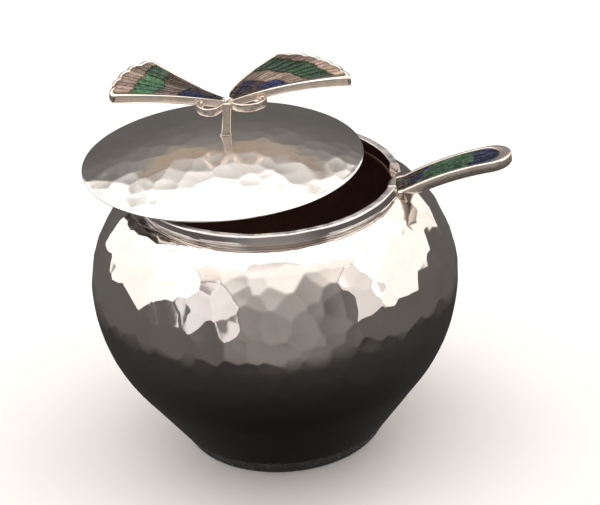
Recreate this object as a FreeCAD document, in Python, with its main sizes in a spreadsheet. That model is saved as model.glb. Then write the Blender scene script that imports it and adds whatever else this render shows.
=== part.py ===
"""Hammered sugar bowl with a loose domed lid, a butterfly finial and an inlaid spoon.

Frame: millimetres, +Z up, origin on the bowl's axis in the plane it stands on.
The lid lies pushed back and to the left, the spoon hangs in a notch of the rim on the right.
"""
import FreeCAD, Part
import math
import os

import Sketcher
from FreeCAD import Placement, Rotation, Vector

doc = FreeCAD.newDocument("sugar_bowl")

# ---------------------------------------------------------------- driving sizes
SIZES = {
    # bowl: a straight flared side, then three arcs up to the neck
    "belly_radius": 56.0, "belly_height": 53.0,
    "side_radius": 47.3, "side_height": 24.5, "lower_arc": 51.0,
    "shoulder_radius": 47.4, "shoulder_height": 76.1, "upper_arc": 35.3,
    "neck_radius": 38.4, "neck_height": 81.8, "neck_edge": 0.25, "neck_arc": 17.1,
    "wall": 1.4, "wall_slant": 1.0,
    "mouth_radius": 37.0, "rim_radius": 39.7, "rim_height": 3.7, "rim_round": 0.6,
    "foot_outer": 31.0, "foot_height": 5.2, "foot_top": 34.4,
    "floor_lift": 1.6, "floor_radius": 31.0, "crease": 0.45,
    # notch for the spoon
    "notch_half": 7.4, "spoon_azimuth": -7.6,
    # lid
    "lid_offset_back": 12.0, "lid_offset_left": 13.3, "lid_gap": 1.25,
    "lid_radius": 42.9, "lid_rise": 8.6, "lid_edge": 0.5, "lid_wall": 1.2,
    "liner_radius": 36.0, "liner_wall": 1.2, "liner_top": 1.6,
    # finial
    "post_width": 2.6, "post_depth": 1.3, "post_front": 2.3, "post_lean": 1.1,
    "finial_shift": 3.0, "finial_height": 18.95, "thorax_width": 1.8, "thorax_length": 3.2, "thorax_top": 0.6,
    "wing_thick": 2.6, "wing_dihedral": 7.9, "wing_pitch": 9.9, "lobe_depth": 0.75,
    "inlay_depth": 0.8, "ribbon_tall": 2.0, "ribbon_thick": 0.7, "ribbon_top": 0.3,
    # spoon
    "handle_start": 40.6, "handle_end": 72.3, "handle_root_half": 5.7, "handle_half": 6.3,
    "handle_root_z": 82.9, "handle_slope": 27.6, "handle_arch": 89.0, "handle_thick": 3.2,
    "handle_border": 1.1, "handle_inlay": 1.0,
    "shank_half": 4.0, "shank_thick": 1.0, "shank_z": 82.1, "shank_bend": 1.0,
    "shank_x": 36.3, "scoop_x": 31.7, "scoop_depth": 4.6, "scoop_wide_arc": 14.3,
    "scoop_long_arc": 30.0, "scoop_z": 30.0, "scoop_wall": 1.1,
}

sheet = doc.addObject("Spreadsheet::Sheet", "Sizes")
for row, (alias, number) in enumerate(SIZES.items(), start=1):
    sheet.set("A%d" % row, alias)
    sheet.set("B%d" % row, str(number))
    sheet.setAlias("B%d" % row, alias)
doc.recompute()


def size(alias):
    """One driving size, read back from the sheet."""
    return float(sheet.get(alias))


def total(text):
    """Value of a sum such as 'belly_radius - wall', read left to right."""
    words = text.split()
    answer, sign = 0.0, 1.0
    for word in words:
        if word == "+":
            sign = 1.0
        elif word == "-":
            sign = -1.0
        else:
            number = size(word) if word in SIZES else float(word)
            answer += sign * number
    return answer


def bound(text):
    """The same sum written as a FreeCAD expression on the sheet's cells."""
    return " ".join("Sizes." + word if word in SIZES else word for word in text.split())


# ---------------------------------------------------------------- sketch helpers
def new_body(label):
    body = doc.addObject("PartDesign::Body", label)
    body.Label = label
    return body


def new_sketch(body, name, role):
    sketch = body.newObject("Sketcher::SketchObject", name)
    plane = [item for item in body.Origin.OriginFeatures if item.Role == role][0]
    sketch.AttachmentSupport = [(plane, "")]
    sketch.MapMode = "FlatFace"
    return sketch


def bind_point(sketch, geometry, end, x_text, y_text):
    """Holds one end of a line or arc at two sums of cells, measured from the origin."""
    for kind, axis, text in (("DistanceX", -2, x_text), ("DistanceY", -1, y_text)):
        if text == "0":
            sketch.addConstraint(Sketcher.Constraint("PointOnObject", geometry, end, axis))
        else:
            rule = Sketcher.Constraint(kind, -1, 1, geometry, end, total(text))
            index = sketch.addConstraint(rule)
            sketch.setExpression("Constraints[%d]" % index, bound(text))


def arc_between(start, finish, radius, side):
    """Short arc from start to finish, its centre on the left (side 1) or right (side -1)."""
    chord = finish - start
    middle = (start + finish) * 0.5
    normal = Vector(-chord.y, chord.x, 0).normalize() * side
    centre = middle + normal * math.sqrt(radius ** 2 - chord.Length ** 2 / 4)
    first, last = (start, finish) if side > 0 else (finish, start)
    begin = math.atan2(first.y - centre.y, first.x - centre.x)
    end = math.atan2(last.y - centre.y, last.x - centre.x)
    if end < begin:
        end += 2 * math.pi
    circle = Part.Circle(centre, Vector(0, 0, 1), radius)
    return Part.ArcOfCircle(circle, begin, end)


def centred_radius(start, finish):
    """Radius of the arc through two points whose centre lies on the vertical axis."""
    edge, top = (start, finish) if start.x > finish.x else (finish, start)
    rise = top.y - edge.y
    return (edge.x ** 2 + rise ** 2) / (2 * rise)


def outline(sketch, corners, arcs=None):
    """Closed outline through the corners; arcs maps an edge's number to (radius, side).

    An arc whose radius is given as "dome" ends on the axis and has its centre on it too.
    """
    arcs = arcs or {}
    points = [Vector(total(x), total(y), 0) for x, y in corners]
    ends = []
    for number, start in enumerate(points):
        finish = points[(number + 1) % len(points)]
        if number in arcs:
            text, side = arcs[number]
            radius = centred_radius(start, finish) if text == "dome" else total(text)
            edge = sketch.addGeometry(arc_between(start, finish, radius, side), False)
            ends.append((edge, 1, 2) if side > 0 else (edge, 2, 1))
        else:
            edge = sketch.addGeometry(Part.LineSegment(start, finish), False)
            ends.append((edge, 1, 2))
    for number, (edge, start, finish) in enumerate(ends):
        after = ends[(number + 1) % len(ends)]
        sketch.addConstraint(Sketcher.Constraint("Coincident", edge, finish, after[0], after[1]))
        bind_point(sketch, edge, start, *corners[number])
        if number in arcs and arcs[number][0] == "dome":
            sketch.addConstraint(Sketcher.Constraint("PointOnObject", edge, 3, -2))
        elif number in arcs:
            radius = arcs[number][0]
            rule = Sketcher.Constraint("Radius", edge, total(radius))
            index = sketch.addConstraint(rule)
            sketch.setExpression("Constraints[%d]" % index, bound(radius))


def turned(label, corners, arcs=None):
    """A body of revolution about the vertical axis."""
    body = new_body(label)
    sketch = new_sketch(body, label + "_profile", "XZ_Plane")
    outline(sketch, corners, arcs)
    doc.recompute()
    turn = body.newObject("PartDesign::Revolution", label + "_turn")
    turn.Profile = sketch
    turn.ReferenceAxis = (sketch, ["V_Axis"])
    turn.Angle = 360
    sketch.Visibility = False
    doc.recompute()
    return body


def padded(label, role, corners, thickness, arcs=None):
    """A flat profile padded both ways from its plane; thickness is a sum of cells."""
    body = new_body(label)
    sketch = new_sketch(body, label + "_profile", role)
    outline(sketch, corners, arcs)
    doc.recompute()
    pad = body.newObject("PartDesign::Pad", label + "_pad")
    pad.Profile = sketch
    pad.Midplane = True
    pad.Length = total(thickness)
    pad.setExpression("Length", bound(thickness))
    doc.recompute()
    return body


def plain(label, shape, placement=None):
    """A piece whose curved outline is made directly from the sheet's sizes."""
    piece = doc.addObject("Part::Feature", label)
    piece.Label = label
    piece.Shape = shape
    if placement is not None:
        piece.Placement = placement
    return piece


pieces = []


def clear_of(shape, *labels):
    """A placed shape less what runs into the named pieces: the largest solid that remains."""
    for piece in pieces:
        if piece.Label in labels:
            shape = shape.cut(piece.Shape)
    return max(shape.Solids, key=lambda solid: solid.Volume)


# ---------------------------------------------------------------- bowl
def make_bowl():
    shell = turned(
        "bowl_shell",
        [
            ("0", "floor_lift"),
            ("floor_radius", "floor_lift"),
            ("foot_top - crease", "foot_height"),
            ("side_radius", "side_height"),
            ("belly_radius", "belly_height"),
            ("shoulder_radius", "shoulder_height"),
            ("neck_radius", "neck_height - neck_edge"),
            ("neck_radius", "neck_height"),
            ("mouth_radius", "neck_height"),
            ("mouth_radius", "neck_height - wall"),
            ("shoulder_radius - wall_slant", "shoulder_height - wall_slant"),
            ("belly_radius - wall", "belly_height"),
            ("side_radius - wall", "side_height"),
            ("floor_radius", "floor_lift + wall"),
            ("0", "floor_lift + wall"),
        ],
        {
            3: ("lower_arc", 1), 4: ("upper_arc", 1), 5: ("neck_arc", 1),
            9: ("neck_arc - wall", -1), 10: ("upper_arc - wall", -1),
            11: ("lower_arc - wall", -1),
        },
    )
    foot = turned(
        "foot_base",
        [
            ("0", "0"),
            ("foot_outer", "0"),
            ("foot_top", "foot_height"),
            ("foot_top - crease", "foot_height"),
            ("floor_radius", "floor_lift"),
            ("0", "floor_lift"),
        ],
    )
    collar = turned(
        "rim_collar",
        [
            ("mouth_radius", "neck_height"),
            ("rim_radius", "neck_height"),
            ("rim_radius", "neck_height + rim_height - rim_round"),
            ("rim_radius - rim_round", "neck_height + rim_height"),
            ("mouth_radius + rim_round", "neck_height + rim_height"),
            ("mouth_radius", "neck_height + rim_height - rim_round"),
        ],
        {2: ("rim_round", 1), 4: ("rim_round", 1)},
    )
    # the notch: a parallel-sided gap right through the collar, on its own +X side
    notch = new_sketch(collar, "notch_plan", "XY_Plane")
    low, high = "0 - notch_half", "notch_half"
    outline(
        notch,
        [("foot_outer", low), ("belly_radius", low), ("belly_radius", high), ("foot_outer", high)],
    )
    doc.recompute()
    before = collar.Shape.Volume
    cut = collar.newObject("PartDesign::Pocket", "notch_cut")
    cut.Profile = notch
    cut.Type = "ThroughAll"
    cut.Reversed = True
    doc.recompute()
    if collar.Shape.Volume > before - 50:
        raise RuntimeError("the notch does not cut the collar")
    collar.Placement = Placement(Vector(0, 0, 0), Rotation(Vector(0, 0, 1), size("spoon_azimuth")))
    pieces.extend([shell, foot, collar])


# ---------------------------------------------------------------- lid
LID_AT = Vector(
    -size("lid_offset_left"), size("lid_offset_back"), total("neck_height + rim_height + lid_gap")
)


def make_lid():
    dome = turned(
        "lid_dome",
        [
            ("lid_radius - lid_wall", "0"),
            ("lid_radius", "0"),
            ("lid_radius", "lid_edge"),
            ("0", "lid_rise"),
            ("0", "lid_rise - lid_wall"),
        ],
        {2: ("dome", 1), 4: ("dome", -1)},
    )
    liner = turned(
        "lid_liner",
        [
            ("0", "0 - liner_wall"),
            ("liner_radius", "0 - liner_wall"),
            ("liner_radius", "liner_top"),
            ("liner_radius - liner_wall", "liner_top"),
            ("liner_radius - liner_wall", "0"),
            ("0", "0"),
        ],
    )
    for body in (dome, liner):
        body.Placement = Placement(LID_AT, Rotation())
    pieces.extend([dome, liner])


# ---------------------------------------------------------------- finial
FINIAL_AT = LID_AT + Vector(size("finial_shift"), 0, size("finial_height"))

# Each wing in its own plane: x outward from the root, y back from the leading edge.
# The bands are the distances from the root at which one colour of inlay gives way to the next.
WINGS = {
    "right": dict(
        side=1, tip=(37.0, -1.2), arch=2.4, margin=(31.4, 11.0), corner=(15.8, 20.8),
        back=(1.0, 7.4), lobes=6, bands=(3.5, 13.0, 20.0, 26.5),
    ),
    "left": dict(
        side=-1, tip=(34.0, -1.0), arch=1.3, margin=(32.4, 11.0), corner=(22.6, 20.3),
        back=(3.6, 2.2), lobes=5, bands=(7.0, 14.5, 21.0, 27.0),
    ),
}
ROOT = Vector(1.0, -0.3, 0)


def wing_face(wing, lobed):
    """Plan of a wing: arched leading edge, round margin with or without lobes, straight back."""
    tip, margin, corner, back = (Vector(*wing[key], 0) for key in ("tip", "margin", "corner", "back"))
    lead_middle = (ROOT + tip) * 0.5 + Vector(0, wing["arch"], 0)
    edges = [Part.Arc(ROOT, lead_middle, tip).toShape()]
    rim = Part.Arc(tip, margin, corner)
    rim_centre = rim.toShape().Curve.Center
    if lobed:
        count = wing["lobes"]
        step = (rim.LastParameter - rim.FirstParameter) / count
        for number in range(count):
            begin = rim.FirstParameter + number * step
            start, top, end = (rim.value(begin + part * step) for part in (0.0, 0.5, 1.0))
            outward = (top - rim_centre).normalize()
            edges.append(Part.Arc(start, top + outward * size("lobe_depth"), end).toShape())
    else:
        edges.append(rim.toShape())
    edges.append(Part.makeLine(corner, back))
    root_back = Vector(ROOT.x, min(back.y, 1.8), 0)
    if (back - root_back).Length > 0.1:
        edges.append(Part.makeLine(back, root_back))
        edges.append(Part.makeLine(root_back, ROOT))
    else:
        edges.append(Part.makeLine(back, ROOT))
    return Part.Face(Part.Wire(edges))


def scaled(shape, factor, centre):
    copy = shape.copy()
    copy.scale(factor, centre)
    return copy


def prism(face, low, high):
    """A flat face turned into a slab between two heights."""
    moved = face.copy()
    moved.translate(Vector(0, 0, low))
    return moved.extrude(Vector(0, 0, high - low))


def wing_place(side):
    pitch = Rotation(Vector(1, 0, 0), size("wing_pitch"))
    rise = Rotation(Vector(0, 1, 0), -side * size("wing_dihedral"))
    return Placement(FINIAL_AT, rise.multiply(pitch))


def mirrored(shape, side):
    return shape if side > 0 else shape.mirror(Vector(0, 0, 0), Vector(1, 0, 0))


def make_wing(name, wing):
    """Silver tray with a shallow bed, and four bands of inlay across it."""
    thick, bed = size("wing_thick"), size("inlay_depth")
    blank = prism(wing_face(wing, True), -thick, 0)
    smooth = wing_face(wing, False)
    bed_face = scaled(smooth, 0.92, smooth.CenterOfMass)
    bed_solid = prism(bed_face, -bed, 1.0)
    placement = wing_place(wing["side"])
    tray = blank.cut(bed_solid)
    pieces.append(plain("wing_tray_" + name, mirrored(tray, wing["side"]), placement))
    levels = list(wing["bands"]) + [60.0]
    names = ("inlay_blue", "inlay_shell_inner", "inlay_green", "inlay_shell_outer")
    for label, near, far in zip(names, levels, levels[1:]):
        ring = Part.makeCylinder(far, 2 * thick, Vector(0, 0, -thick))
        ring = ring.cut(Part.makeCylinder(near, 2 * thick, Vector(0, 0, -thick)))
        band = prism(bed_face, -bed, -0.05).common(ring)
        pieces.append(plain(label + "_" + name, mirrored(band, wing["side"]), placement))


def ribbon_path(reach, forward, back, side):
    """Plan of an antenna: part of an ellipse from the head forward and round to the wing.

    Its end curls into a scroll. reach is the half-axis outward, forward the one towards the
    front, and back the distance of the ellipse's middle behind the butterfly's front.
    """
    lead = math.radians(25)
    points = []
    for number in range(14):
        turn = math.radians(205 + 145 * number / 13)
        outward = reach * (math.cos(lead) + math.cos(turn))
        points.append(Vector(outward, back + forward * math.sin(turn), 0))
    eye = points[-1] + Vector(-1.05, 0.15, 0)
    for number in range(1, 8):
        turn = math.radians(-8 + 36 * number)
        radius = 1.05 - 0.06 * number
        points.append(eye + Vector(radius * math.cos(turn), radius * math.sin(turn), 0))
    return [Vector(side * point.x, point.y, 0) for point in points]


def make_ribbon(name, reach, forward, back, side, post_side):
    """A flat strip on edge, bent along the plan path; it starts at one side of the post."""
    path = ribbon_path(reach, forward, back, side)
    half = size("ribbon_thick") / 2
    left, right = [], []
    for number, point in enumerate(path):
        before = path[max(number - 1, 0)]
        after = path[min(number + 1, len(path) - 1)]
        along = (after - before).normalize()
        across = Vector(-along.y, along.x, 0) * half
        left.append(point + across)
        right.append(point - across)
    curves = []
    for side_points in (left, right):
        curve = Part.BSplineCurve()
        curve.interpolate(side_points)
        curves.append(curve.toShape())
    ends = [Part.makeLine(left[0], right[0]), Part.makeLine(left[-1], right[-1])]
    wire = Part.Wire(Part.__sortEdges__(curves + ends))
    strip = Part.Face(wire).extrude(Vector(0, 0, size("ribbon_tall")))
    low = size("ribbon_top") - size("ribbon_tall")
    strip.Placement = Placement(FINIAL_AT + Vector(post_side, 0, low), Rotation())
    pieces.append(plain("antenna_" + name, clear_of(strip, "finial_post", "wing_tray_" + name)))


def make_finial():
    post = padded(
        "finial_post", "XZ_Plane",
        [
            ("0 - post_lean - post_width", "lid_rise"),
            ("0 - post_lean", "lid_rise"),
            ("0", "finial_height"),
            ("0 - post_width", "finial_height"),
        ],
        "post_depth",
    )
    post_middle = -size("post_front") + size("post_depth") / 2
    shift = size("finial_shift") + size("post_width") / 2 - 0.3
    post.Placement = Placement(LID_AT + Vector(shift, post_middle, 0), Rotation())
    thorax = padded(
        "thorax_bar", "YZ_Plane",
        [
            ("post_depth - post_front", "0 - wing_thick"),
            ("thorax_length", "0 - wing_thick"),
            ("thorax_length", "0 - thorax_top"),
            ("post_depth - post_front", "0 - thorax_top"),
        ],
        "thorax_width",
    )
    thorax.Placement = Placement(FINIAL_AT, Rotation())
    pieces.extend([post, thorax])
    for name, wing in WINGS.items():
        make_wing(name, wing)
    make_ribbon("right", 5.4, 5.4, 0.5, 1, 1.05)
    make_ribbon("left", 4.2, 7.6, 1.2, -1, -1.65)


# ---------------------------------------------------------------- spoon, built along +X
SPOON_TURN = Placement(Vector(0, 0, 0), Rotation(Vector(0, 0, 1), size("spoon_azimuth")))


def handle_plan(inset):
    """Plan of the handle: slightly tapered sides and a round end."""
    start = size("handle_start") + inset
    root = size("handle_root_half") - inset
    half = size("handle_half") - inset
    end = size("handle_end") - inset
    shoulder = size("handle_end") - size("handle_half")
    edges = [
        Part.makeLine(Vector(start, -root, 0), Vector(shoulder, -half, 0)),
        Part.Arc(Vector(shoulder, -half, 0), Vector(end, 0, 0), Vector(shoulder, half, 0)).toShape(),
        Part.makeLine(Vector(shoulder, half, 0), Vector(start, root, 0)),
        Part.makeLine(Vector(start, root, 0), Vector(start, -root, 0)),
    ]
    return Part.Face(Part.Wire(edges)).extrude(Vector(0, 0, 150))


def handle_slab(low, high):
    """Arched layer of the handle between two depths below its top surface."""
    slope, arch = math.radians(size("handle_slope")), size("handle_arch")
    centre = Vector(size("handle_start") + arch * math.sin(slope), 0,
                    size("handle_root_z") - arch * math.cos(slope))
    begin, end = math.radians(90 + size("handle_slope") + 3), math.radians(92)
    rings = []
    for depth in (low, high):
        angles = [begin + (end - begin) * part for part in (0.0, 0.5, 1.0)]
        reach = arch - depth
        rings.append([centre + Vector(math.cos(a), 0, math.sin(a)) * reach for a in angles])
    outer, inner = rings
    edges = [
        Part.Arc(*outer).toShape(), Part.makeLine(outer[2], inner[2]),
        Part.Arc(*inner).toShape(), Part.makeLine(inner[0], outer[0]),
    ]
    face = Part.Face(Part.Wire(Part.__sortEdges__(edges)))
    face.translate(Vector(0, -10, 0))
    return face.extrude(Vector(0, 20, 0))


def shoulder_clearance():
    """Room left under the handle's root for the bowl's shoulder."""
    start, floor = size("handle_start"), size("shank_z")
    corners = [
        (start - 3, floor - 12), (start - 3, floor + 0.1), (start - 1.1, floor - 0.3),
        (start + 2.8, floor - 1.85), (start + 2.8, floor - 12),
    ]
    points = [Vector(x, -10, z) for x, z in corners]
    face = Part.Face(Part.makePolygon(points + points[:1]))
    return face.extrude(Vector(0, 20, 0))


def make_handle():
    border, bed = size("handle_border"), size("handle_inlay")
    blank = handle_slab(0, size("handle_thick")).common(handle_plan(0))
    blank = blank.cut(shoulder_clearance())
    tray = blank.cut(handle_slab(-1, bed).common(handle_plan(border)))
    pieces.append(plain("spoon_handle", tray, SPOON_TURN))
    start = size("handle_start")
    stretches = {"spoon_inlay_root": (0, 6.6), "spoon_inlay_green": (6.6, 20.6),
                 "spoon_inlay_blue": (20.6, 40.0)}
    layer = handle_slab(0.05, bed).common(handle_plan(border)).cut(shoulder_clearance())
    for label, (low, high) in stretches.items():
        window = Part.makeBox(high - low, 20, 150, Vector(start + low, -10, 0))
        pieces.append(plain(label, layer.common(window), SPOON_TURN))


def scoop_torus(label, tube):
    """Torus whose outer face is the scoop's back: one arc along it, a tighter one across it."""
    torus = doc.addObject("Part::Torus", label)
    torus.setExpression("Radius1", bound("scoop_long_arc - scoop_wide_arc"))
    torus.setExpression("Radius2", bound(tube))
    middle = total("scoop_x + scoop_depth - scoop_long_arc")
    upright = Rotation(Vector(1, 0, 0), 90)
    torus.Placement = Placement(Vector(middle, 0, size("scoop_z")), upright)
    return torus


def make_shank_and_scoop():
    back = scoop_torus("scoop_back", "scoop_wide_arc")
    hollow = scoop_torus("scoop_hollow", "scoop_wide_arc - scoop_wall")
    front = doc.addObject("Part::Box", "scoop_front")
    front.Length, front.Width, front.Height = 20, 60, 60
    front.Placement = Placement(Vector(size("scoop_x"), -30, size("scoop_z") - 30), Rotation())
    bulge = doc.addObject("Part::Common", "scoop_bulge")
    bulge.Base, bulge.Tool = back, front
    scoop = doc.addObject("Part::Cut", "spoon_scoop")
    scoop.Base, scoop.Tool = bulge, hollow
    scoop.Placement = SPOON_TURN
    strip = padded(
        "shank_strip", "XZ_Plane",
        [
            ("handle_start", "shank_z"),
            ("handle_start", "shank_z + shank_thick"),
            ("shank_x + shank_bend", "shank_z + shank_thick"),
            ("shank_x - shank_thick", "shank_z - shank_bend"),
            ("shank_x - shank_thick", "scoop_z"),
            ("shank_x", "scoop_z"),
            ("shank_x", "shank_z - shank_bend"),
            ("shank_x + shank_bend", "shank_z"),
        ],
        "shank_half + shank_half",
        {2: ("shank_bend + shank_thick", 1), 6: ("shank_bend", -1)},
    )
    backing = scoop_torus("shank_end", "scoop_wide_arc")
    shank = doc.addObject("Part::Cut", "spoon_shank")
    shank.Base, shank.Tool = strip, backing
    shank.Placement = SPOON_TURN
    pieces.extend([shank, scoop])


# ---------------------------------------------------------------- build, check, write
make_bowl()
make_lid()
make_finial()
make_handle()
make_shank_and_scoop()
doc.recompute()

for item in doc.Objects:
    if "Invalid" in item.State or "Error" in item.State:
        raise RuntimeError("%s is in state %s" % (item.Label, item.State))
for piece in pieces:
    if piece.Shape.isNull() or not piece.Shape.isValid() or not piece.Shape.Solids:
        raise RuntimeError("%s has no valid solid" % piece.Label)

os.makedirs("parts", exist_ok=True)
for piece in pieces:
    piece.Shape.exportStep("parts/%s.step" % piece.Label)
    box = piece.Shape.BoundBox
    print("%-24s solids %d  x %.1f..%.1f  y %.1f..%.1f  z %.1f..%.1f  volume %.1f" % (
        piece.Label, len(piece.Shape.Solids), box.XMin, box.XMax, box.YMin, box.YMax,
        box.ZMin, box.ZMax, piece.Shape.Volume))
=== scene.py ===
"""Looks for the hammered silver sugar bowl: lid with a butterfly finial, and an inlaid spoon.

Lengths inside the builders are millimetres in the model's own frame; put() turns them to metres.
"""

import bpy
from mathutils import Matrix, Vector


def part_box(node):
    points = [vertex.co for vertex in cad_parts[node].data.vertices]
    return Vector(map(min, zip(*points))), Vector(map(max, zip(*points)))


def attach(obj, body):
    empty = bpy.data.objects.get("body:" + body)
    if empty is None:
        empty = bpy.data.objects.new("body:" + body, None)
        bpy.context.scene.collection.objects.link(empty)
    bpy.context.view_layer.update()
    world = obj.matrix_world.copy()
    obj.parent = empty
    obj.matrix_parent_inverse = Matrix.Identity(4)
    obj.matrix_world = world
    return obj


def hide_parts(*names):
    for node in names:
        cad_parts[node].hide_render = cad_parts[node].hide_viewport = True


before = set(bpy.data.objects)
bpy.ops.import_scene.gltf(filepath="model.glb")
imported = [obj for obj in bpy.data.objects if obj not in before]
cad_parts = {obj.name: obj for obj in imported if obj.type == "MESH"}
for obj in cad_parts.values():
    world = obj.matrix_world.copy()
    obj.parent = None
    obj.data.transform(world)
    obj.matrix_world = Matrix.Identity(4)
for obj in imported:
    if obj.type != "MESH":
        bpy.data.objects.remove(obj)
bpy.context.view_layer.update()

import math

import bpy
import numpy as np
from mathutils import Matrix, Vector

MM = 0.001
rng = np.random.default_rng(11)


def cad(node):
    """Lowest and highest corner of a CAD node, in millimetres."""
    low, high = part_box(node)
    return np.array(low) / MM, np.array(high) / MM


# ---------------------------------------------------------------- sizes read from the frame
SHELL_HIGH = cad("bowl_shell")[1]
COLLAR_LOW, COLLAR_HIGH = cad("rim_collar")
DOME_LOW, DOME_HIGH = cad("lid_dome")
LINER_LOW, LINER_HIGH = cad("lid_liner")
POST_LOW, POST_HIGH = cad("finial_post")
FOOT_HIGH = cad("foot_base")[1]

BELLY_R, BELLY_Z = SHELL_HIGH[0], 53.0
NECK_Z, RIM_Z = COLLAR_LOW[2], COLLAR_HIGH[2]
MOUTH_R, RIM_R, NECK_R = 37.0, COLLAR_HIGH[1], 38.4
FOOT_TOP_R, FOOT_R, FOOT_Z = FOOT_HIGH[0], 31.0, FOOT_HIGH[2]
LID = np.array([(DOME_LOW[0] + DOME_HIGH[0]) / 2, (DOME_LOW[1] + DOME_HIGH[1]) / 2, DOME_LOW[2]])
LID_R, LID_RISE = (DOME_HIGH[0] - DOME_LOW[0]) / 2, DOME_HIGH[2] - DOME_LOW[2]
LINER_R = (LINER_HIGH[0] - LINER_LOW[0]) / 2
FINIAL = LID + np.array([3.0, 0.0, 18.95])
SPOON_AZIMUTH = math.radians(-7.6)
NOTCH_HALF = 7.4
RIDGE = 0.006


# ---------------------------------------------------------------- meshes
def put(name, points, faces, material, body, tints=None, face_slots=None, replaces=(),
        crisp=None):
    """Makes a mesh object from points in millimetres and rides it on a body."""
    mesh = bpy.data.meshes.new(name)
    mesh.from_pydata((np.asarray(points, float) * MM).tolist(), [], faces)
    mesh.update()
    materials = material if isinstance(material, (list, tuple)) else [material]
    for one in materials:
        mesh.materials.append(one)
    if face_slots is not None:
        mesh.polygons.foreach_set("material_index", np.asarray(face_slots, np.int32))
    mesh.polygons.foreach_set("use_smooth", np.full(len(mesh.polygons), True))
    if crisp:
        mesh.set_sharp_from_angle(angle=math.radians(crisp))
    if tints is not None:
        layer = mesh.color_attributes.new("tint", "FLOAT_COLOR", "POINT")
        colours = np.ones((len(points), 4), np.float32)
        colours[:, :3] = tints
        layer.data.foreach_set("color", colours.ravel())
    piece = bpy.data.objects.new(name, mesh)
    bpy.context.scene.collection.objects.link(piece)
    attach(piece, body)
    if replaces:
        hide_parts(*replaces)
    return piece


def soften(piece, angle=40, width=0.0, segments=2):
    """Rounds the edges above the angle with a narrow bevel when a width is given."""
    if width:
        bevel = piece.modifiers.new("edge", "BEVEL")
        bevel.width = width * MM
        bevel.segments = segments
        bevel.limit_method = "ANGLE"
        bevel.angle_limit = math.radians(angle)
        bevel.harden_normals = False
    return piece


def grid(rows, columns, wrap, start=0):
    """Quads over a rows by columns lattice; wrap closes the last column onto the first."""
    index = np.arange(rows * columns).reshape(rows, columns) + start
    right = np.roll(index, -1, axis=1) if wrap else index[:, 1:]
    left = index if wrap else index[:, :-1]
    quads = np.stack([left[:-1], right[:-1], right[1:], left[1:]], -1)
    return quads.reshape(-1, 4).tolist()


def cap(index, flip=False):
    """One face over a loop of vertex numbers."""
    loop = list(index)
    return [loop[::-1] if flip else loop]


def arc(centre, radius, start, end, step):
    """Points on an arc in the (radius, height) plane, angles in degrees."""
    count = max(2, int(abs(math.radians(end - start)) * radius / step) + 1)
    turn = np.radians(np.linspace(start, end, count))
    return np.stack([centre[0] + radius * np.cos(turn), centre[1] + radius * np.sin(turn)], -1)


def line(start, end, step):
    start, end = np.array(start, float), np.array(end, float)
    count = max(2, int(np.linalg.norm(end - start) / step) + 1)
    return start + (end - start) * np.linspace(0, 1, count)[:, None]


def joined(*runs):
    """Runs of points end to end, without repeated points."""
    points = np.vstack(runs)
    apart = np.linalg.norm(np.diff(points, axis=0), axis=1)
    keep = np.r_[True, apart > 0.05]
    return points[keep]


def outward(profile):
    """Unit normals of a profile, to the right of its direction of travel."""
    along = np.gradient(profile, axis=0)
    along /= np.linalg.norm(along, axis=1)[:, None]
    return np.stack([along[:, 1], -along[:, 0]], -1)


def spin(profile, count):
    """Revolves a (radius, height) profile about Z: rows follow the profile."""
    turn = np.linspace(0, 2 * np.pi, count, endpoint=False)
    radius, height = profile[:, :1], profile[:, 1:]
    points = np.stack([radius * np.cos(turn), radius * np.sin(turn),
                       height + 0 * turn], -1)
    return points


# ---------------------------------------------------------------- hammer marks
def marks_on(profile, normals, pitch):
    """Centres and normals of hammer blows in uneven rows over a surface of revolution."""
    length = np.r_[0, np.cumsum(np.linalg.norm(np.diff(profile, axis=0), axis=1))]
    centres, facing = [], []
    for row in np.arange(pitch * 0.4, length[-1], pitch * 0.86):
        radius = np.interp(row, length, profile[:, 0])
        count = max(5, int(round(2 * np.pi * radius / pitch)))
        angles = (np.arange(count) + rng.uniform(-0.36, 0.36, count) + rng.random()) * 2 * np.pi / count
        along = np.clip(row + rng.uniform(-0.34, 0.34, count) * pitch, 0, length[-1])
        r = np.interp(along, length, profile[:, 0])
        z = np.interp(along, length, profile[:, 1])
        nr = np.interp(along, length, normals[:, 0])
        nz = np.interp(along, length, normals[:, 1])
        centres.append(np.stack([r * np.cos(angles), r * np.sin(angles), z], -1))
        facing.append(np.stack([nr * np.cos(angles), nr * np.sin(angles), nz], -1))
    return np.vstack(centres), np.vstack(facing)


def hammered(points, normals, centres, facing, dish, tilt):
    """How far to push each point along its normal so that each blow leaves a shallow dish with its own
    lean.
    """
    count = len(centres)
    lean = rng.normal(0, tilt, (count, 3))
    lean -= (lean * facing).sum(1)[:, None] * facing
    depth = rng.uniform(-0.06, 0.0, count) * dish / 0.015
    scoop = dish * rng.uniform(0.75, 1.3, count)
    flat_points = points.reshape(-1, 3)
    shift = np.empty(len(flat_points))
    offset = depth - (centres * lean).sum(1)
    for begin in range(0, len(flat_points), 6000):
        some = flat_points[begin:begin + 6000]
        apart = (some ** 2).sum(1)[:, None] + (centres ** 2).sum(1)[None] - 2 * some @ centres.T
        height = apart * scoop + some @ lean.T + offset
        lowest = height.min(1)
        ridge = np.exp((lowest[:, None] - height) / RIDGE).sum(1)
        shift[begin:begin + 6000] = lowest - RIDGE * np.log(ridge)
    return shift.reshape(points.shape[:-1])


# ---------------------------------------------------------------- materials
def material(name):
    made = bpy.data.materials.new(name)
    made.use_nodes = True
    nodes, links = made.node_tree.nodes, made.node_tree.links
    return made, nodes, links, nodes["Principled BSDF"]


def node(nodes, kind, inputs=None, **settings):
    made = nodes.new(kind)
    for key, value in settings.items():
        setattr(made, key, value)
    for key, value in (inputs or {}).items():
        made.inputs[key].default_value = value
    return made


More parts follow.
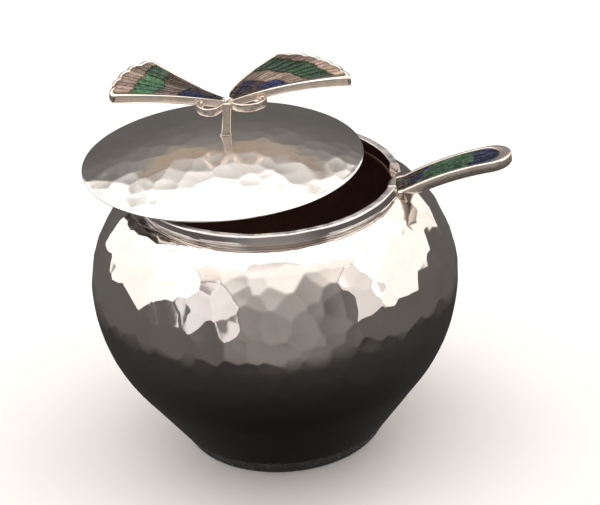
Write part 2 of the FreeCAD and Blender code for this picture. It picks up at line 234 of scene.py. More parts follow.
def noise(nodes, links, place, scale, detail=4.0, roughness=0.55):
    made = node(nodes, "ShaderNodeTexNoise",
                {"Scale": scale, "Detail": detail, "Roughness": roughness})
    links.new(place.outputs[0], made.inputs["Vector"])
    return made


def stretched(nodes, links, coordinates, scale):
    made = node(nodes, "ShaderNodeMapping")
    made.inputs["Scale"].default_value = scale
    links.new(coordinates.outputs["Object"], made.inputs["Vector"])
    return made


def ramp(nodes, links, source, stops):
    made = nodes.new("ShaderNodeValToRGB")
    bar = made.color_ramp
    while len(bar.elements) < len(stops):
        bar.elements.new(0.5)
    for element, (place, colour) in zip(bar.elements, stops):
        element.position = place
        element.color = (*colour, 1) if len(colour) == 3 else colour
    links.new(source, made.inputs["Fac"])
    return made


def spread(nodes, links, source, low, high, start=0.3, end=0.7):
    made = node(nodes, "ShaderNodeMapRange", {"From Min": start, "From Max": end,
                                              "To Min": low, "To Max": high})
    links.new(source, made.inputs["Value"])
    return made


def silver(name, light, warm, rough, scratch=0.03, brush=(1, 1, 1), tarnish=None, metal=1.0):
    """Polished silver: cloudy warm and cool areas, uneven polish, fine wiping scratches."""
    made, nodes, links, surface = material(name)
    coordinates = nodes.new("ShaderNodeTexCoord")
    place = stretched(nodes, links, coordinates, (1, 1, 1))
    cloud = noise(nodes, links, place, 42.0, 5.0, 0.6)
    colour = ramp(nodes, links, cloud.outputs["Fac"], [(0.32, warm), (0.62, light)])
    surface.inputs["Metallic"].default_value = metal
    if tarnish:
        patches = noise(nodes, links, place, 120.0, 6.0, 0.7)
        amount = spread(nodes, links, patches.outputs["Fac"], 0.0, 0.55, 0.52, 0.74)
        mix = node(nodes, "ShaderNodeMix", data_type="RGBA")
        mix.inputs[7].default_value = (*tarnish, 1)
        links.new(amount.outputs[0], mix.inputs[0])
        links.new(colour.outputs[0], mix.inputs[6])
        links.new(mix.outputs[2], surface.inputs["Base Color"])
    else:
        links.new(colour.outputs[0], surface.inputs["Base Color"])
    polish = noise(nodes, links, place, 260.0, 5.0, 0.65)
    gloss = spread(nodes, links, polish.outputs["Fac"], rough * 0.6, rough * 1.7)
    links.new(gloss.outputs[0], surface.inputs["Roughness"])
    wiped = stretched(nodes, links, coordinates, brush)
    lines = noise(nodes, links, wiped, 900.0, 3.0, 0.5)
    bump = node(nodes, "ShaderNodeBump", {"Strength": scratch, "Distance": 0.0002})
    links.new(lines.outputs["Fac"], bump.inputs["Height"])
    links.new(bump.outputs[0], surface.inputs["Normal"])
    return made


def stone(name, dark, middle, bright, scale, rough=0.22, veins=0.5, coat=0.12):
    """Polished inlay: each chip's own tint, mottling and veins inside it, a clear polish."""
    made, nodes, links, surface = material(name)
    coordinates = nodes.new("ShaderNodeTexCoord")
    place = stretched(nodes, links, coordinates, (1, 1, 1))
    mottle = noise(nodes, links, place, scale, 6.0, 0.65)
    colour = ramp(nodes, links, mottle.outputs["Fac"],
                  [(0.34, dark), (0.5, middle), (0.66, bright)])
    wave = node(nodes, "ShaderNodeTexWave", {"Scale": scale * 0.8, "Distortion": 9.0,
                                             "Detail": 4.0, "Detail Scale": 1.6})
    links.new(place.outputs[0], wave.inputs["Vector"])
    streak = spread(nodes, links, wave.outputs["Fac"], 1.0 - veins, 1.15, 0.0, 0.9)
    tint = node(nodes, "ShaderNodeAttribute", attribute_name="tint")
    by_chip = node(nodes, "ShaderNodeMix", data_type="RGBA", blend_type="MULTIPLY")
    by_chip.inputs[0].default_value = 1.0
    links.new(colour.outputs[0], by_chip.inputs[6])
    links.new(tint.outputs["Color"], by_chip.inputs[7])
    by_vein = node(nodes, "ShaderNodeMix", data_type="RGBA", blend_type="MULTIPLY")
    by_vein.inputs[0].default_value = 1.0
    links.new(by_chip.outputs[2], by_vein.inputs[6])
    links.new(streak.outputs[0], by_vein.inputs[7])
    links.new(by_vein.outputs[2], surface.inputs["Base Color"])
    gloss = spread(nodes, links, mottle.outputs["Fac"], rough * 0.7, rough * 1.6)
    links.new(gloss.outputs[0], surface.inputs["Roughness"])
    surface.inputs["Specular IOR Level"].default_value = 0.3
    surface.inputs["Coat Weight"].default_value = coat
    surface.inputs["Coat Roughness"].default_value = 0.08
    bump = node(nodes, "ShaderNodeBump", {"Strength": 0.12, "Distance": 0.0002})
    links.new(mottle.outputs["Fac"], bump.inputs["Height"])
    links.new(bump.outputs[0], surface.inputs["Normal"])
    return made


SILVER_BOWL = silver("silver_hammered", (0.90, 0.87, 0.84), (0.84, 0.77, 0.72), 0.075)
SILVER_LID = silver("silver_lid", (0.90, 0.88, 0.85), (0.84, 0.80, 0.76), 0.11, 0.07, (1, 5, 1))
SILVER_RIM = silver("silver_rim", (0.86, 0.82, 0.80), (0.74, 0.68, 0.66), 0.10, 0.05, (1, 1, 6))
SILVER_FOOT = silver("silver_foot", (0.72, 0.73, 0.75), (0.60, 0.60, 0.61), 0.2, 0.02, metal=0.94)
SILVER_UNDER = silver("silver_underside", (0.86, 0.76, 0.66), (0.74, 0.62, 0.52), 0.35, 0.10,
                      metal=0.35)
SILVER_TRIM = silver("silver_trim", (0.92, 0.85, 0.77), (0.82, 0.71, 0.62), 0.17, 0.05,
                     tarnish=(0.42, 0.31, 0.25), metal=0.90)
SILVER_SATIN = silver("silver_satin", (0.84, 0.80, 0.78), (0.72, 0.67, 0.65), 0.34, 0.12, (1, 1, 6))
# Painted shade: a dark, almost non-metal brown for the bowl's inside, standing in for the shade and
# dark reflections in there.
INSIDE_PAINTED_SHADE = silver("inside_painted_shade", (0.42, 0.25, 0.19), (0.30, 0.17, 0.13), 0.5, 0.10,
                     metal=0.1)
RESIN = silver("dark_bed", (0.045, 0.032, 0.028), (0.025, 0.018, 0.016), 0.5, 0.2, metal=0.0)
MALACHITE = stone("malachite", (0.013, 0.036, 0.018), (0.030, 0.086, 0.040), (0.070, 0.16, 0.078),
                  700.0)
LAPIS = stone("lapis", (0.004, 0.005, 0.020), (0.009, 0.013, 0.056), (0.030, 0.045, 0.14), 900.0)
SHELL = stone("shell", (0.30, 0.22, 0.17), (0.44, 0.35, 0.29), (0.58, 0.50, 0.44), 500.0, 0.24, 0.10)
BROWN = stone("brown_stone", (0.016, 0.010, 0.008), (0.040, 0.027, 0.021), (0.08, 0.058, 0.048),
              700.0)


# ---------------------------------------------------------------- bowl
# Side of the bowl: the flare's top end, then each arc's radius and where it stops, in degrees.
FLARE_END = np.array([47.3, 24.5])
LOWER_ARC, UPPER_ARC, NECK_ARC = 51.0, 35.3, 17.1
FLARE_TURN, SHOULDER_TURN, NECK_TURN, INNER_NECK_TURN = -34.0, 40.9, 76.6, 80.0
NECK_CENTRE = (34.46, 64.92)
WALL, FLOOR_LOW, FLOOR_TOP = 1.4, 1.62, 3.0

# Hammer blows: spacing, hollow of each dish, and lean; the bowl's fade toward foot and neck.
BOWL_BLOWS, LID_BLOWS = (5.0, 0.0185, 0.06), (5.0, 0.0085, 0.022)
BLOW_HEIGHTS = [6, 40, 50, 55, 60, 76, 80, 82]
BLOW_STRENGTH = [0.06, 0.14, 0.24, 0.55, 1.0, 0.9, 0.6, 0.1]


def bowl_profile(step, inset=0.0):
    """Side of the bowl from its foot to its neck: straight flare, then three arcs."""
    low = np.array([FOOT_TOP_R - 0.45, FOOT_Z])
    lower, upper = (BELLY_R - LOWER_ARC, BELLY_Z), (BELLY_R - UPPER_ARC, BELLY_Z)
    across = FLARE_END - low
    across = np.array([across[1], -across[0]]) / np.linalg.norm(across)
    neck_turn = NECK_TURN if inset == 0 else INNER_NECK_TURN
    return joined(
        line(low, FLARE_END, step) - across * inset,
        arc(lower, LOWER_ARC - inset, FLARE_TURN, 0.0, step),
        arc(upper, UPPER_ARC - inset, 0.0, SHOULDER_TURN, step),
        arc(NECK_CENTRE, NECK_ARC - inset, SHOULDER_TURN, neck_turn, step),
    )


def make_bowl():
    """Hammered outside, lip, inside in a dark brown that is painted shade, and the floor, as one closed
    surface.
    """
    fine = 0.5
    pitch, dish, tilt = BOWL_BLOWS
    count = int(2 * np.pi * BELLY_R / fine)
    outer = bowl_profile(fine)
    normals = outward(outer)
    points, facing = spin(outer, count), spin(normals, count)
    centres, directions = marks_on(outer, normals, pitch)
    push = hammered(points, facing, centres, directions, dish, tilt)
    strength = np.interp(outer[:, 1][:, None], BLOW_HEIGHTS, BLOW_STRENGTH)
    points = points + facing * ((push - 0.13) * strength)[..., None]
    inner = joined(bowl_profile(1.6, WALL)[::-1][:-1], line((31.4, FLOOR_TOP), (0.4, FLOOR_TOP), 3.0))
    lip = np.array([[NECK_R - 0.1, NECK_Z - 0.02], [MOUTH_R + 0.02, NECK_Z - 0.02],
                    [MOUTH_R, NECK_Z - 0.5]])
    inside = joined(lip, inner[inner[:, 0] > 0])
    within = spin(inside, count)
    floor_out = spin(joined(np.array([[0.4, FLOOR_LOW]]),
                            line((6, FLOOR_LOW), (FOOT_R - 2, FLOOR_LOW), 6.0),
                            np.array([[FOOT_TOP_R - 1.3, FOOT_Z - 0.05]])), count)
    every = np.vstack([floor_out.reshape(-1, 3), points.reshape(-1, 3), within.reshape(-1, 3)])
    rows = len(floor_out) + len(points) + len(within)
    faces = grid(rows, count, True)
    faces += cap(range(count), flip=True) + cap(range((rows - 1) * count, rows * count))
    outside_rows = len(floor_out) + len(points) + 1
    # Faces inside the mouth take the painted-shade brown; the rest take the hammered silver.
    slots = [0 if row < outside_rows * count else 1 for row in range((rows - 1) * count)] + [0, 1]
    put("bowl_hammered", every, faces, [SILVER_BOWL, INSIDE_PAINTED_SHADE], "bowl",
        face_slots=slots, replaces=("bowl_shell",))


def turned(name, profile, count, paint, body, centre=(0, 0, 0), uneven=0.0, replaces=(),
           crisp=None):
    """Closed body of revolution from an open profile that starts and ends near the axis."""
    points = spin(profile, count)
    if uneven:
        turn = np.linspace(0, 2 * np.pi, count, endpoint=False)
        wobble = sum(np.sin(k * turn + rng.random() * 6.28) / k for k in (3, 5, 8, 13, 21))
        points *= 1 + uneven * wobble[None, :, None] / np.linalg.norm(points, axis=-1).max()
    rows = len(profile)
    faces = grid(rows, count, True)
    faces += cap(range(count), flip=True) + cap(range((rows - 1) * count, rows * count))
    return put(name, points.reshape(-1, 3) + np.array(centre), faces, paint, body,
               replaces=replaces, crisp=crisp)


def make_foot():
    """Flat base with a band that carries on the bowl's flare below a fine crease."""
    edge = FOOT_TOP_R - 0.52
    profile = joined(
        np.array([[0.4, 0.0]]), line((8, 0.0), (FOOT_R - 0.7, 0.0), 6.0),
        arc((FOOT_R - 0.65, 0.65), 0.65, -90, -30, 0.15),
        line((FOOT_R + 0.12, 0.6), (edge, FOOT_Z - 0.02), 0.6),
        line((edge - 0.5, FOOT_Z + 0.5), (FOOT_R - 1.0, 1.7), 1.0), np.array([[0.4, 1.7]]),
    )
    turned("foot_band", profile, 256, SILVER_FOOT, "bowl", uneven=0.06,
           replaces=("foot_base",), crisp=28)


def make_collar():
    """Flat-topped ring with rounded edges; its ends are the parallel sides of the notch."""
    inner, outer, low, top, curve = MOUTH_R, RIM_R, NECK_Z, RIM_Z, 0.55
    section = joined(
        line((inner, low + 0.02), (NECK_R + 0.1, low + 0.02), 0.7),
        line((NECK_R + 0.25, low + 0.3), (NECK_R + 0.35, low + 0.95), 0.3),
        arc((outer - 0.28, low + 1.28), 0.28, -110, 30, 0.07),
        line((outer - 0.12, low + 1.62), (outer - 0.32, top - curve), 0.5),
        arc((outer - 0.32 - curve, top - curve), curve, 0, 90, 0.12),
        line((outer - 0.32 - curve, top), (inner + curve, top), 0.5),
        arc((inner + curve, top - curve), curve, 90, 180, 0.12),
        line((inner, top - curve), (inner, low + 0.4), 0.7),
    )
    count = 420
    part = np.linspace(0, 1, count)[:, None]
    first = np.arcsin(NOTCH_HALF / section[:, 0])[None]
    turn = SPOON_AZIMUTH + first + (2 * np.pi - 2 * first) * part
    wave = 0.05 * np.sin(9 * turn + 1.0) + 0.035 * np.sin(23 * turn)
    high = np.clip((section[:, 1] - low) / (top - low), 0, 1)[None]
    radius = section[:, 0][None] + 0.03 * np.sin(17 * turn) * high - 0.02
    height = section[:, 1][None] + (wave - 0.07) * high
    points = np.stack([radius * np.cos(turn), radius * np.sin(turn), height + 0 * turn], -1)
    size = len(section)
    faces = grid(count, size, True)
    faces += cap(range(size)) + cap(range((count - 1) * size, count * size), flip=True)
    on_top = [section[number, 1] > top - 0.2 for number in range(size)]
    slots = [int(on_top[number % size]) for number in range((count - 1) * size)] + [0, 0]
    collar = put("rim_ring", points.reshape(-1, 3), faces, [SILVER_RIM, SILVER_SATIN], "bowl",
                 face_slots=slots, replaces=("rim_collar",))
    soften(collar, 50, 0.22)


# ---------------------------------------------------------------- lid
def make_lid():
    """Shallow dome with softer marks that fade toward the back, and the disc under it."""
    fine = 0.5
    pitch, dish, tilt = LID_BLOWS
    count = int(2 * np.pi * LID_R / fine)
    edge = 0.5
    rise = LID_RISE - edge
    ball = (LID_R ** 2 + rise ** 2) / (2 * rise)
    lean = math.degrees(math.asin(LID_R / ball))
    dome = arc((0, LID_RISE - ball), ball, 90 - lean + 0.25, 89.85, fine)
    normals = -outward(dome[::-1])[::-1]
    points, facing = spin(dome, count), spin(normals, count)
    if (facing[0, 0] * [1, 0, 1]).sum() < 0:
        facing = -facing
    centres, directions = marks_on(dome, normals, pitch)
    push = hammered(points, facing, centres, directions, dish, tilt)
    strength = np.interp(dome[:, 0], [0, 4, 9, 30, LID_R - 1, LID_R], [0, 0.3, 0.8, 1, 1, 0.2])
    front = np.clip(0.55 - points[..., 1] / LID_R * 0.7, 0.14, 1.0)
    points = points + facing * ((push - 0.06) * strength[:, None] * front)[..., None]
    under_ball = ball - 1.2
    under = arc((0, LID_RISE - ball), under_ball, 89.8, 90 - lean + 0.9, 2.5)
    rim = joined(under[-1:], np.array([[LID_R - 1.1, 0.02], [LID_R - 0.5, 0.0]]),
                 arc((LID_R - 0.3, 0.3), 0.3, -90, 20, 0.08))
    bottom = spin(joined(under, rim), count)
    every = np.vstack([bottom.reshape(-1, 3), points.reshape(-1, 3)])
    rows = len(bottom) + len(points)
    faces = grid(rows, count, True)
    faces += cap(range(count), flip=True) + cap(range((rows - 1) * count, rows * count))
    put("lid_hammered", every + LID, faces, SILVER_LID, "lid",
        replaces=("lid_dome",))
    low = LINER_LOW[2] - LID[2]
    liner = joined(
        np.array([[0.4, low]]), line((6, low), (LINER_R - 0.5, low), 6.0),
        arc((LINER_R - 0.5, low + 0.5), 0.5, -90, 0, 0.15),
        line((LINER_R, low + 0.8), (LINER_R, 1.5), 0.7), np.array([[LINER_R - 1.2, 1.5],
                                                                  [LINER_R - 1.3, 0.0], [0.4, 0.0]]))
    turned("lid_liner_disc", liner, 200, SILVER_RIM, "lid", LID, 0.02,
           ("lid_liner",))


# ---------------------------------------------------------------- butterfly
ROOT = np.array([1.0, -0.3])
THICK = 2.6
WING_PITCH, WING_RISE = math.radians(9.9), math.radians(7.9)
# Where a tray's bed starts and stops, as shares of the wing's plan: (s, t).
BED_FROM, BED_TO = (0.035, 0.085), (0.972, 0.955)


def bezier(first, bend, last, part):
    part = np.asarray(part)[..., None]
    return (1 - part) ** 2 * first + 2 * part * (1 - part) * bend + part ** 2 * last


def circle_through(a, b, c):
    """Centre and radius of the circle through three plan points."""
    lhs = 2 * np.array([b - a, c - a])
    rhs = np.array([(b ** 2 - a ** 2).sum(), (c ** 2 - a ** 2).sum()])
    centre = np.linalg.solve(lhs, rhs)
    return centre, np.linalg.norm(a - centre)


class Wing:
    """Plan of one wing as a patch: s runs from root to margin, t from leading to trailing edge."""

    def __init__(self, side, tip, arch, margin, corner, bend, root_back, lobes, lobe_depth):
        self.side, self.arch = side, arch
        self.tip, self.corner = np.array(tip, float), np.array(corner, float)
        self.bend, self.root_back = np.array(bend, float), np.array(root_back, float)
        self.lobes, self.lobe_depth = lobes, lobe_depth
        self.centre, self.radius = circle_through(self.tip, np.array(margin, float), self.corner)
        ends = [math.atan2(*(p - self.centre)[::-1]) for p in (self.tip, self.corner)]
        self.start, self.end = ends

    def lead(self, s):
        straight = ROOT + (self.tip - ROOT) * s[..., None]
        straight[..., 1] += self.arch * 4 * s * (1 - s)
        return straight

    def trail(self, s):
        return bezier(self.root_back, self.bend, self.corner, s)

    def margin(self, t, lobed):
        turn = self.start + (self.end - self.start) * t
        reach = self.radius + 0 * t
        if lobed:
            swell = np.abs(np.sin(np.pi * self.lobes * t)) ** 0.7
            reach = reach + self.lobe_depth * swell * (0.7 + 0.5 * np.sin(5 * t + 1) ** 2)
        out = np.stack([np.cos(turn), np.sin(turn)], -1)
        return self.centre + out * reach[..., None]

    def plan(self, s, t, lobed=True):
        s, t = np.broadcast_arrays(np.asarray(s, float), np.asarray(t, float))
        sides = (1 - t)[..., None] * self.lead(s) + t[..., None] * self.trail(s)
        root = ROOT + (self.root_back - ROOT) * t[..., None]
        ends = (1 - s)[..., None] * root + s[..., None] * self.margin(t, lobed)
        corners = ((1 - s) * (1 - t))[..., None] * ROOT + (s * (1 - t))[..., None] * self.tip \
            + ((1 - s) * t)[..., None] * self.root_back + (s * t)[..., None] * self.corner
        return sides + ends - corners

    def world(self, plan, height):
        """Plan and height in the wing's own plane to the bowl's frame."""
        pitch, rise = WING_PITCH, WING_RISE
        x, y, z = plan[..., 0], plan[..., 1], height + 0 * plan[..., 0]
        y, z = y * math.cos(pitch) - z * math.sin(pitch), y * math.sin(pitch) + z * math.cos(pitch)
        x, z = x * math.cos(rise) - z * math.sin(rise), x * math.sin(rise) + z * math.cos(rise)
        return np.stack([self.side * x, y, z], -1) + FINIAL


WINGS = {
    "right": Wing(1, (37.0, -1.2), 2.4, (31.4, 11.0), (15.8, 20.8), (0.4, 9.6), (0.2, 1.8), 6, 0.7),
    "left": Wing(-1, (34.0, -1.0), 1.3, (32.4, 11.0), (22.6, 20.3), (6.0, 3.5), (0.8, 1.8), 5, 1.0),
}


def loop_parameters(count, low=(0.0, 0.0), high=(1.0, 1.0)):
    """(s, t) all the way round the patch: lead, margin, trail, root."""
    part = np.linspace(0, 1, count, endpoint=False)
    s = np.concatenate([part, 1 + 0 * part, 1 - part, 0 * part])
    t = np.concatenate([0 * part, part, 1 + 0 * part, 1 - part])
    return low[0] + (high[0] - low[0]) * s, low[1] + (high[1] - low[1]) * t


def make_tray(name, wing):
    """Silver tray: tall outer wall with rounded edges, a border, and a bed for the inlay."""
    count = 44
    s, t = loop_parameters(count)
    outer = wing.plan(s, t, True)
    middle = outer.mean(0)

    def drawn_in(amount):
        toward = middle - outer
        return outer + toward / np.linalg.norm(toward, axis=1)[:, None] * amount

    s_in, t_in = loop_parameters(count, BED_FROM, BED_TO)
    inner = wing.plan(s_in, t_in)
    levels = [
        (drawn_in(0.45), -THICK), (drawn_in(0.12), -THICK + 0.12), (outer, -THICK + 0.45),
        (outer, -0.45), (drawn_in(0.10), -0.12), (drawn_in(0.38), 0.0), (inner, 0.0),
        (inner, -0.22),
    ]
    points = np.vstack([wing.world(plan, height) for plan, height in levels])
    size = 4 * count
    faces = grid(len(levels), size, True)
    rows = 14
    bed_s, bed_t = np.meshgrid(np.linspace(BED_FROM[0], BED_TO[0], rows),
                               np.linspace(BED_FROM[1], BED_TO[1], rows), indexing="ij")
    bed = wing.world(wing.plan(bed_s, bed_t), -0.24).reshape(-1, 3)
    under = wing.world(wing.plan(np.linspace(0.01, 0.985, rows)[:, None],
                                 np.linspace(0.02, 0.98, rows)[None]), -THICK + 0.02).reshape(-1, 3)
    start = len(points)
    bed_faces = grid(rows, rows, False, start)
    under_faces = [face[::-1] for face in grid(rows, rows, False, start + len(bed))]
    faces_all = faces + bed_faces + under_faces
    slots = [0] * len(faces) + [1] * len(bed_faces) + [2] * len(under_faces)
    if wing.side < 0:
        faces_all = [face[::-1] for face in faces_all]
    put("wing_" + name, np.vstack([points, bed, under]), faces_all,
        [SILVER_TRIM, RESIN, SILVER_UNDER], "lid", face_slots=slots,
        replaces=("wing_tray_" + name,))


class Chips:
    """Collects the chips of one stone in one wing or handle, and makes them one object."""

    def __init__(self):
        self.points, self.faces, self.tints = [], [], []

    def add(self, top, base, tint):
        """One chip from a rows by columns lattice of top points, and its outline lower down."""
        rows, columns = top.shape[:2]
        start = sum(len(p) for p in self.points)
        index = np.arange(rows * columns).reshape(rows, columns) + start
        ring = np.concatenate([index[0, :-1], index[:-1, -1], index[-1, :0:-1], index[:0:-1, 0]])
        edge = np.arange(len(ring)) + start + rows * columns
        base_ring = np.concatenate([base[0, :-1], base[:-1, -1], base[-1, :0:-1], base[:0:-1, 0]])
        self.points += [top.reshape(-1, 3), base_ring]
        self.faces += grid(rows, columns, False, start)
        for number in range(len(ring)):
            after = (number + 1) % len(ring)
            self.faces.append([int(ring[after]), int(ring[number]), int(edge[number]),
                               int(edge[after])])
        self.tints += [np.tile(tint, (rows * columns + len(ring), 1))]

    def make(self, name, paint, body, slot, replaces=(), flip=False):
        if not self.points:
            return None
        faces = [face[::-1] for face in self.faces] if flip else self.faces
        return put(name, np.vstack(self.points), faces, paint, body,
                   tints=np.vstack(self.tints), replaces=replaces)


def lay_row(wing, chips, near, far, first, last, count, choose, gap=0.34):
    """A row of chips between two s boundaries, both functions of t, dividing t unevenly."""
    cuts = np.linspace(first, last, count + 1)
    cuts[1:-1] += rng.uniform(-0.18, 0.18, count - 1) * (last - first) / count
    for start, end in zip(cuts, cuts[1:]):
        middle = (start + end) / 2
        kind, tint = choose(middle)
        sink = rng.uniform(-0.05, 0.02)
        part = np.linspace(0, 1, 5)
        t = start + (end - start) * part[None]
        lows = np.array([near(v) for v in t[0]])[None]
        highs = np.array([far(v) for v in t[0]])[None]
        s = lows + (highs - lows) * part[:, None]
        width = max(np.linalg.norm(wing.plan(s[2, 4], end) - wing.plan(s[2, 0], start)), 0.3)
        length = max(np.linalg.norm(wing.plan(s[4, 2], middle) - wing.plan(s[0, 2], middle)), 0.3)
        squeeze_t, squeeze_s = 1 - gap / width, 1 - gap / length
        t = middle + (t + 0 * s - middle) * squeeze_t
        s_mid = (lows + highs) / 2
        s = s_mid + (s - s_mid) * squeeze_s
        crown = 0.05 * np.outer(np.sin(np.pi * part), np.sin(np.pi * part))
        top = wing.world(wing.plan(s, t), crown + sink)
        base = wing.world(wing.plan(s, t), -0.26)
        chips[kind].add(top, base, tint)


def tints(kind):
    """A chip's own colour factor, spread about one."""
    level = rng.uniform(0.72, 1.22)
    if kind == "shell":
        level = rng.uniform(0.55, 1.35)
        return np.array([1.0, rng.uniform(0.84, 0.99), rng.uniform(0.74, 0.98)]) * level
    return np.array([rng.uniform(0.85, 1.15), 1.0, rng.uniform(0.85, 1.2)]) * level


def pick(kind, scale=1.0):
    return kind, tints(kind) * scale


def inlay_right(wing, chips):
    """Rows of the right wing from root to margin; each boundary is a function of t."""
    green_near = lambda t: 0.665 - 0.02 * math.sin(math.pi * t) + 0.012 * math.sin(19 * t)
    green_far = lambda t: 0.86 + 0.035 * t + 0.012 * math.sin(16 * t)
    blue_far = lambda t: 0.50 if t < 0.42 else 0.43
    lay_row(wing, chips, lambda t: 0.05, lambda t: 0.13, 0.09, 0.95, 3, lambda t: pick("brown", 1.2))
    lay_row(wing, chips, lambda t: 0.13, lambda t: 0.31, 0.09, 0.42, 3, lambda t: pick("brown", 1.5))
    lay_row(wing, chips, lambda t: 0.31, blue_far, 0.09, 0.42, 3, lambda t: pick("lapis", 1.7))
    lay_row(wing, chips, lambda t: 0.13, lambda t: 0.29, 0.42, 0.95, 6,
            lambda t: pick("brown", 1.8) if rng.random() < 0.35 else pick("lapis", 1.2))
    lay_row(wing, chips, lambda t: 0.29, blue_far, 0.42, 0.95, 6,
            lambda t: pick("brown", 2.2) if rng.random() < 0.35 else pick("lapis", 0.9))
    lay_row(wing, chips, blue_far, green_near, 0.09, 0.95, 12,
            lambda t: pick("shell", 0.30 if t > 0.75 else 0.55))
    lay_row(wing, chips, green_near, green_far, 0.09, 0.95, 8,
            lambda t: pick("malachite", 1.0 if 0.3 < t < 0.55 else 0.6))
    lay_row(wing, chips, green_far, lambda t: 0.970, 0.09, 0.95, 12,
            lambda t: pick("shell", 0.95 if t < 0.5 else 0.34))


def inlay_left(wing, chips):
    """Rows of the left wing, whose bands bend nearer the trailing edge."""
    green_near = lambda t: 0.61 + 0.42 * max(0, t - 0.5) + 0.012 * math.sin(12 * t)
    green_far = lambda t: 0.825 + 0.22 * max(0, t - 0.5) + 0.010 * math.sin(17 * t)
    lay_row(wing, chips, lambda t: 0.05, lambda t: 0.14, 0.09, 0.94, 2, lambda t: pick("brown", 1.1))
    lay_row(wing, chips, lambda t: 0.14, lambda t: 0.29, 0.09, 0.62, 3, lambda t: pick("lapis", 0.8))
    lay_row(wing, chips, lambda t: 0.29, lambda t: 0.43, 0.09, 0.62, 4, lambda t: pick("lapis", 1.1))
    lay_row(wing, chips, lambda t: 0.14, lambda t: 0.43, 0.62, 0.94, 3, lambda t: pick("brown", 1.7))
    lay_row(wing, chips, lambda t: 0.43, green_near, 0.09, 0.68, 6,
            lambda t: pick("shell", 0.50) if rng.random() < 0.8 else pick("shell", 0.22))
    lay_row(wing, chips, lambda t: 0.43, green_near, 0.68, 0.94, 3, lambda t: pick("brown", 2.0))
    lay_row(wing, chips, green_near, green_far, 0.09, 0.94, 6,
            lambda t: pick("malachite", 1.8 if t < 0.6 else 0.75))
    lay_row(wing, chips, green_far, lambda t: 0.970, 0.09, 0.95, 11,
            lambda t: pick("shell", 0.75 if t < 0.6 else 0.45))


def make_wings():
    paints = {"shell": (SHELL, "shell_inlay", ("inlay_shell_inner_", "inlay_shell_outer_")),
              "malachite": (MALACHITE, "malachite_inlay", ("inlay_green_",)),
              "lapis": (LAPIS, "lapis_inlay", ("inlay_blue_",)),
              "brown": (BROWN, "brown_inlay", ())}
    for name, lay in (("right", inlay_right), ("left", inlay_left)):
        wing = WINGS[name]
        make_tray(name, wing)
        chips = {kind: Chips() for kind in paints}
        lay(wing, chips)
        for kind, (paint, slot, prefixes) in paints.items():
            chips[kind].make("wing_%s_%s" % (kind, name), paint, "lid", slot,
                             tuple(prefix + name for prefix in prefixes), flip=wing.side < 0)


def strip(name, path, widths, thick, across, paint, body, replaces=(), rounding=0.28):
    """A flat strip with rounded edges along a 3-D path; across gives its width direction."""
    path = np.asarray(path, float)
    along = np.gradient(path, axis=0)
    along /= np.linalg.norm(along, axis=1)[:, None]
    across = np.broadcast_to(np.asarray(across, float), path.shape)
    across = across - (across * along).sum(1)[:, None] * along
    across = across / np.linalg.norm(across, axis=1)[:, None]
    up = np.cross(along, across)
    widths, thick = np.broadcast_to(widths, len(path)), np.broadcast_to(thick, len(path))
    section = []
    for turn in np.linspace(0, 2 * np.pi, 20, endpoint=False):
        c, s = math.cos(turn), math.sin(turn)
        section.append((math.copysign(abs(c) ** rounding, c), math.copysign(abs(s) ** rounding, s)))
    section = np.array(section)
    points = path[:, None] + across[:, None] * (section[None, :, 0] * widths[:, None] / 2)[..., None] \
        + up[:, None] * (section[None, :, 1] * thick[:, None] / 2)[..., None]
    rows, size = points.shape[:2]
    faces = grid(rows, size, True)
    faces += cap(range(size), flip=True) + cap(range((rows - 1) * size, rows * size))
    return put(name, points.reshape(-1, 3), faces, paint, body, replaces=replaces)


def ribbon_path(reach, forward, back, side, count=40):
    """Plan of an antenna: part of an ellipse round to the wing, and a scroll at its end."""
    lead = math.radians(25)
    turn = np.radians(np.linspace(205, 350, count))
    body = np.stack([reach * (math.cos(lead) + np.cos(turn)), back + forward * np.sin(turn)], -1)
    eye = body[-1] + [-1.05, 0.15]
    curl = np.radians(np.linspace(2, 246, count // 2))
    radius = np.linspace(1.04, 0.62, count // 2)
    scroll = eye + np.stack([radius * np.cos(curl), radius * np.sin(curl)], -1)
    path = np.vstack([body, scroll])
    path[:, 0] *= side
    return path


def make_feelers():
    """Two flat strips on edge that curl from the head back to the wings."""
    for name, reach, forward, back, side, start in (("right", 5.4, 5.4, 0.5, 1, 1.05),
                                                    ("left", 4.2, 7.6, 1.2, -1, -1.65)):
        plan = ribbon_path(reach, forward, back, side)
        height = -0.7 + 0 * plan[:, 0]
        path = np.column_stack([plan[:, 0] + start, plan[:, 1], height]) + FINIAL
        strip("feeler_" + name, path, 2.45, 0.85, (0, 0, 1), SILVER_TRIM, "lid",
              ("antenna_" + name,), 0.45)


def make_post():
    """Flat strip from the lid to the wings, flared at its foot."""
    foot_x, head_x = POST_LOW[0] + 1.3, POST_HIGH[0] - 1.3
    middle_y = (POST_LOW[1] + POST_HIGH[1]) / 2
    part = np.linspace(0, 1, 24)
    top = POST_HIGH[2]
    path = np.column_stack([foot_x + (head_x - foot_x) * part, middle_y + 0 * part,
                            POST_LOW[2] - 0.1 + (top - POST_LOW[2] + 0.1) * part])
    flare = 1.0 + 0.45 * np.exp(-part * 14)
    head = np.where(part > 0.94, np.sqrt(np.clip(1 - ((part - 0.94) / 0.07) ** 2, 0.05, 1)), 1.0)
    strip("post_strip", path, 2.6 * flare * head, 1.25 * (0.8 + 0.5 * flare - 0.3) * head,
          (1, 0, 0), SILVER_TRIM, "lid", ("finial_post",), 0.4)


def make_thorax():
    """Rounded block that joins the wings."""
    bar = np.linspace(-1.0, 3.2, 14)
    swell = np.sqrt(np.clip(1 - ((bar - 1.1) / 2.25) ** 2, 0.03, 1))
    path = np.column_stack([0 * bar, bar, -1.55 + 0 * bar]) + FINIAL
    strip("thorax", path, 1.75 * swell, 1.9 * swell, (1, 0, 0), SILVER_TRIM, "lid",
          ("thorax_bar",), 0.8)


